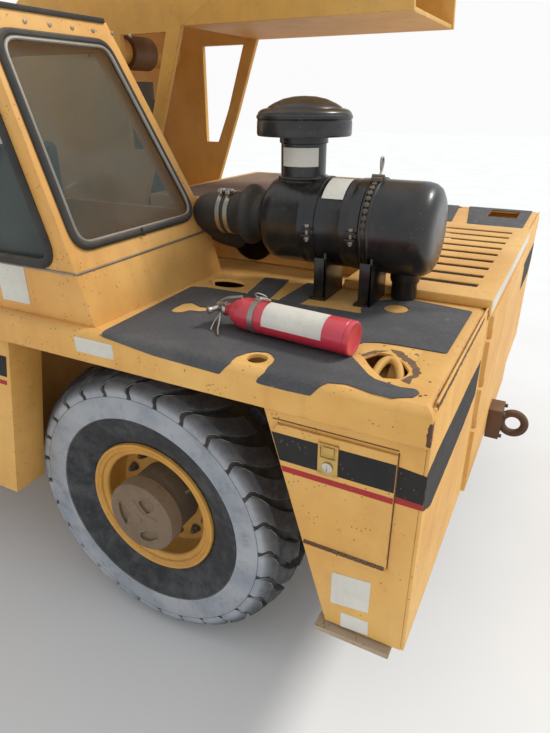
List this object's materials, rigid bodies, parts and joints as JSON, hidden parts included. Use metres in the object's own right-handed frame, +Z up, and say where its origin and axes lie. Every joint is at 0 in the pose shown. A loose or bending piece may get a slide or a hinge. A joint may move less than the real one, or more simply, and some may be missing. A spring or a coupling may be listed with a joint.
{
  "type": "carry deck crane",
  "caption": "Industrial mobile crane with flat load decks, a fixed side cab, a telescopic boom on a slewing turret, steered front wheels and leaning stabiliser legs.",
  "frame": {"origin": "ground under the middle of the machine's length and width", "axes": "+X forward along the boom at rest, +Y to the machine's left, +Z up"},
  "size_m": [5.317, 2.2, 2.515],
  "materials": {
    "body_paint": "weathered yellow paint, rust at the edges",
    "boom_paint": "weathered yellow paint",
    "rim_paint": "yellow paint",
    "black_paint": "dusty gloss black paint",
    "hose_rubber": "matt black",
    "tyre": "worn black with a grey outer wall",
    "window_glass": "grey tinted, dusty",
    "seat_cover": "black vinyl",
    "cab_trim": "dark grey",
    "wheel_plastic": "black",
    "bare_steel": "rusty steel",
    "rod_chrome": "polished",
    "cast_dark": "oily dark paint",
    "brown_iron": "brown, dusty",
    "red_paint": "gloss red",
    "lamp_lens": "clear lens"
  },
  "bodies": {
    "chassis": {"main_frame": "body_paint", "rear_deck": "body_paint", "front_deck": "body_paint", "rear_plate": "body_paint", "outrigger_boxes_rear": "body_paint", "outrigger_boxes_front": "body_paint", "engine_hood": "body_paint", "hood_grille": "body_paint", "engine_block": "cast_dark", "driveline": "cast_dark", "rear_axle": "cast_dark", "front_axle": "cast_dark", "side_bodies": "body_paint", "slewing_ring": "bare_steel", "cab_shell": "body_paint", "cab_glass": "window_glass", "cab_fittings": "cab_trim", "seat": "seat_cover", "steering_wheel": "wheel_plastic", "air_cleaner": "black_paint", "intake_pipe": "hose_rubber", "tow_hook": "bare_steel", "head_lamps": "lamp_lens", "extinguisher": "red_paint"},
    "cab_door": {"cab_door": "body_paint", "door_glass": "window_glass"},
    "box_door_left": {"box_door_left": "body_paint"},
    "box_door_right": {"box_door_right": "body_paint"},
    "knuckle_left": {"knuckle_left": "cast_dark"},
    "knuckle_right": {"knuckle_right": "cast_dark"},
    "tie_rod": {"tie_rod": "cast_dark"},
    "turret": {"turret_frame": "boom_paint", "swing_drive": "brown_iron"},
    "boom_base": {"boom_base": "boom_paint"},
    "boom_mid": {"boom_mid": "boom_paint"},
    "boom_tip": {"boom_tip": "boom_paint"},
    "hook": {"hook_block": "bare_steel"},
    "lift_barrel": {"lift_barrel": "boom_paint"},
    "lift_rod": {"lift_rod": "rod_chrome"},
    "wheel_rear_left": {"tyre_rear_left": "tyre", "rim_rear_left": "rim_paint"},
    "wheel_front_left": {"tyre_front_left": "tyre", "rim_front_left": "rim_paint"},
    "leg_rear_left": {"outrigger_leg_rear_left": "boom_paint"},
    "leg_front_left": {"outrigger_leg_front_left": "boom_paint"},
    "wheel_rear_right": {"tyre_rear_right": "tyre", "rim_rear_right": "rim_paint"},
    "wheel_front_right": {"tyre_front_right": "tyre", "rim_front_right": "rim_paint"},
    "leg_rear_right": {"outrigger_leg_rear_right": "boom_paint"},
    "leg_front_right": {"outrigger_leg_front_right": "boom_paint"}
  },
  "joints": [
    {"name": "wheel_rear_left_spin", "type": "hinge", "parent": "chassis", "child": "wheel_rear_left", "pos_m": [-1.68728, 0.836, 0.462], "axis": [0, 1, 0], "continuous": true},
    {"name": "steer_left", "type": "hinge", "parent": "chassis", "child": "knuckle_left", "pos_m": [0.76272, 0.64, 0.462], "axis": [0, 0, 1], "range_deg": [-35, 35]},
    {"name": "wheel_front_left_spin", "type": "hinge", "parent": "knuckle_left", "child": "wheel_front_left", "pos_m": [0.76272, 0.836, 0.462], "axis": [0, 1, 0], "continuous": true},
    {"name": "outrigger_rear_left", "type": "slide", "parent": "chassis", "child": "leg_rear_left", "axis": [0, 0.1736, -0.9848], "range_m": [0, 0.43]},
    {"name": "outrigger_front_left", "type": "slide", "parent": "chassis", "child": "leg_front_left", "axis": [0, 0.1736, -0.9848], "range_m": [0, 0.43]},
    {"name": "wheel_rear_right_spin", "type": "hinge", "parent": "chassis", "child": "wheel_rear_right", "pos_m": [-1.68728, -0.836, 0.462], "axis": [0, 1, 0], "continuous": true},
    {"name": "steer_right", "type": "hinge", "parent": "chassis", "child": "knuckle_right", "pos_m": [0.76272, -0.64, 0.462], "axis": [0, 0, 1], "range_deg": [-35, 35]},
    {"name": "wheel_front_right_spin", "type": "hinge", "parent": "knuckle_right", "child": "wheel_front_right", "pos_m": [0.76272, -0.836, 0.462], "axis": [0, 1, 0], "continuous": true},
    {"name": "outrigger_rear_right", "type": "slide", "parent": "chassis", "child": "leg_rear_right", "axis": [0, -0.1736, -0.9848], "range_m": [0, 0.43]},
    {"name": "outrigger_front_right", "type": "slide", "parent": "chassis", "child": "leg_front_right", "axis": [0, -0.1736, -0.9848], "range_m": [0, 0.43]},
    {"name": "tie_rod_slide", "type": "slide", "parent": "chassis", "child": "tie_rod", "axis": [0, 1, 0], "range_m": [-0.129, 0.129]},
    {"name": "box_door_left_hinge", "type": "hinge", "parent": "chassis", "child": "box_door_left", "pos_m": [-2.34428, 1.086, 0.68], "axis": [-1, 0, 0], "range_deg": [0, 100]},
    {"name": "box_door_right_hinge", "type": "hinge", "parent": "chassis", "child": "box_door_right", "pos_m": [-2.34428, -1.086, 0.68], "axis": [1, 0, 0], "range_deg": [0, 100]},
    {"name": "cab_door_hinge", "type": "hinge", "parent": "chassis", "child": "cab_door", "pos_m": [-0.50028, 1.082, 1.1], "axis": [0, 0, -1], "range_deg": [0, 95]},
    {"name": "turret_slew", "type": "hinge", "parent": "chassis", "child": "turret", "pos_m": [-0.88428, 0, 1.14], "axis": [0, 0, 1], "continuous": true},
    {"name": "boom_lift", "type": "hinge", "parent": "turret", "child": "boom_base", "pos_m": [-2.00428, 0, 2.14], "axis": [0, -1, 0], "range_deg": [0, 70]},
    {"name": "boom_mid_slide", "type": "slide", "parent": "boom_base", "child": "boom_mid", "axis": [1, 0, 0], "range_m": [0, 1.6]},
    {"name": "boom_tip_slide", "type": "slide", "parent": "boom_mid", "child": "boom_tip", "axis": [1, 0, 0], "range_m": [0, 1.5]},
    {"name": "hook_swing", "type": "hinge", "parent": "boom_tip", "child": "hook", "pos_m": [2.52572, 0, 1.94], "axis": [0, 1, 0], "range_deg": [-25, 72]},
    {"name": "lift_barrel_hinge", "type": "hinge", "parent": "turret", "child": "lift_barrel", "pos_m": [-1.00428, 0, 1.75], "axis": [0, -1, 0], "range_deg": [0, 81.6]},
    {"name": "lift_rod_slide", "type": "slide", "parent": "lift_barrel", "child": "lift_rod", "axis": [0.9927, 0, 0.121], "range_m": [0, 1.156]}
  ],
  "couplings": [
    {"joint": "steer_right", "follows": "steer_left", "ratio": 1},
    {"joint": "tie_rod_slide", "follows": "steer_left", "m_per_rad": -0.21},
    {"joint": "lift_barrel_hinge", "follows": "boom_lift", "ratio": 1.165},
    {"joint": "lift_rod_slide", "follows": "boom_lift", "m_per_rad": 0.9458}
  ]
}
